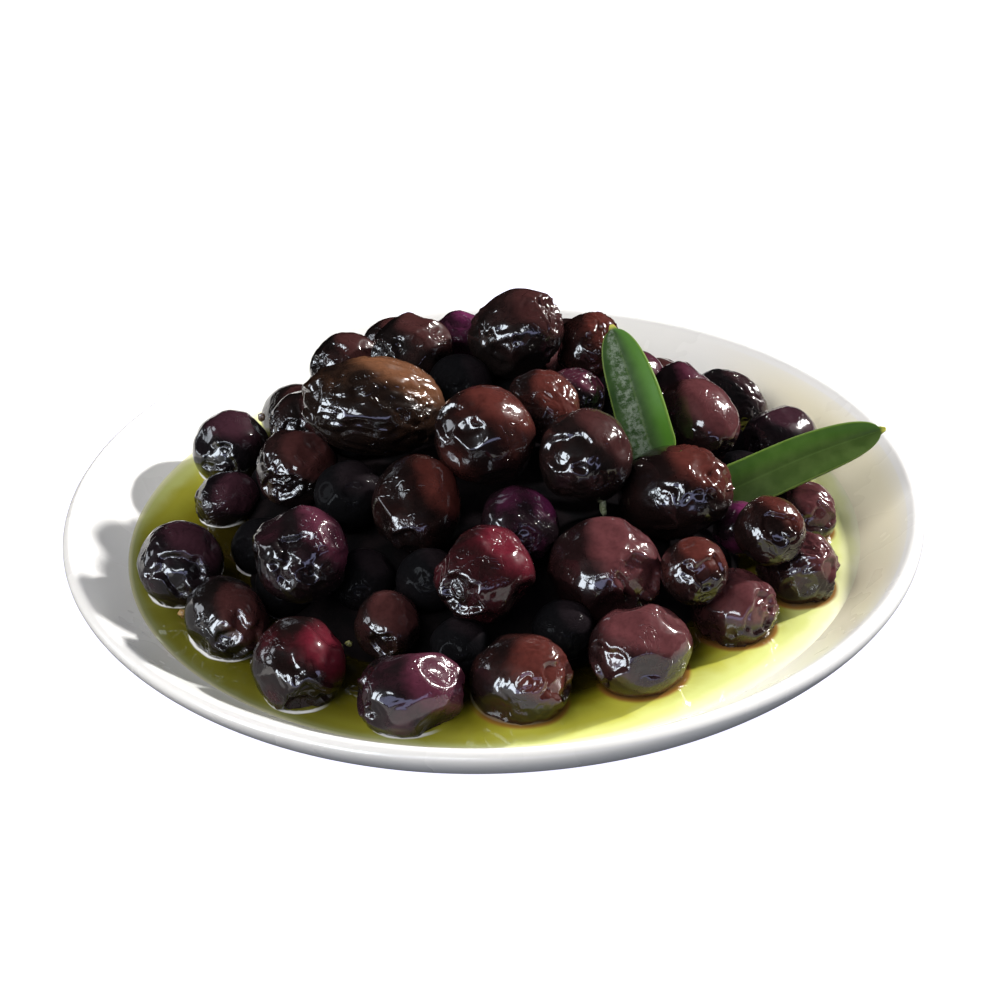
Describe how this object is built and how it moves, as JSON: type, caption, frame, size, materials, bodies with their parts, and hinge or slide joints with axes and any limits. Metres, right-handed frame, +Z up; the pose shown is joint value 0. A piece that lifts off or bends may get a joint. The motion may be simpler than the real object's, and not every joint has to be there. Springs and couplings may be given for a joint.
{
  "type": "dish of olives",
  "caption": "Shallow round white dish with whole black olives heaped in golden olive oil and slender green leaves tucked among them, served as a starter.",
  "frame": {"origin": "centre of the foot ring on the table, under the middle of the dish", "axes": "+Z up, -Y towards the front of the dish, +X to its right"},
  "size_m": [0.1798, 0.1798, 0.0578],
  "materials": {
    "white_glaze": "white glazed porcelain, glossy",
    "olive_oil": "clear golden green oil, wet and glossy",
    "olive_skin": "near-black purple skin with brown and mauve patches, oiled and glossy",
    "leaf_green": "green leaf with paler edges, satin"
  },
  "bodies": {
    "root": {"dish": "white_glaze", "oil": "olive_oil", "olives": "olive_skin", "leaf_upright": "leaf_green", "leaf_right": "leaf_green"}
  },
  "joints": []
}
